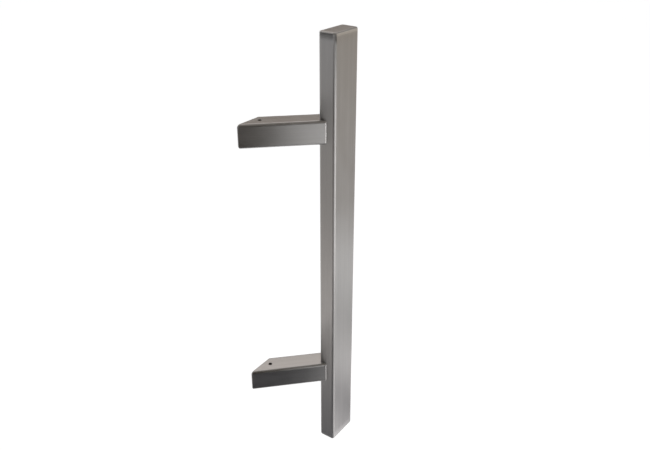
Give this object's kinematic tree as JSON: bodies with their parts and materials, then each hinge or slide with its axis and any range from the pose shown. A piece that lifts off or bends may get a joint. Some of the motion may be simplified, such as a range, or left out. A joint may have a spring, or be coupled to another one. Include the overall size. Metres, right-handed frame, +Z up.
{
  "type": "offset pull handle",
  "caption": "Upright rectangular grip bar for a door, carried by square arms that crank back at 45 degrees to fixings set to one side.",
  "frame": {"origin": "on the door plane, midway between the two fixing bores", "axes": "+X from the fixings towards the grip, +Y into the door, +Z up along the grip"},
  "size_m": [0.1023, 0.073, 0.5],
  "materials": {
    "satin_stainless_grip": "satin, brushed along the bar",
    "satin_stainless_arm": "satin, brushed along the arm",
    "machined_stainless": "machined",
    "screw_stainless": "dull, as turned"
  },
  "bodies": {
    "root": {"grip_tube": "satin_stainless_grip", "top_end_cap": "satin_stainless_grip", "bottom_end_cap": "satin_stainless_grip", "upper_arm": "satin_stainless_arm", "lower_arm": "satin_stainless_arm", "upper_anchor_block": "machined_stainless", "lower_anchor_block": "machined_stainless", "upper_grub_screw": "screw_stainless", "lower_grub_screw": "screw_stainless"}
  },
  "joints": []
}
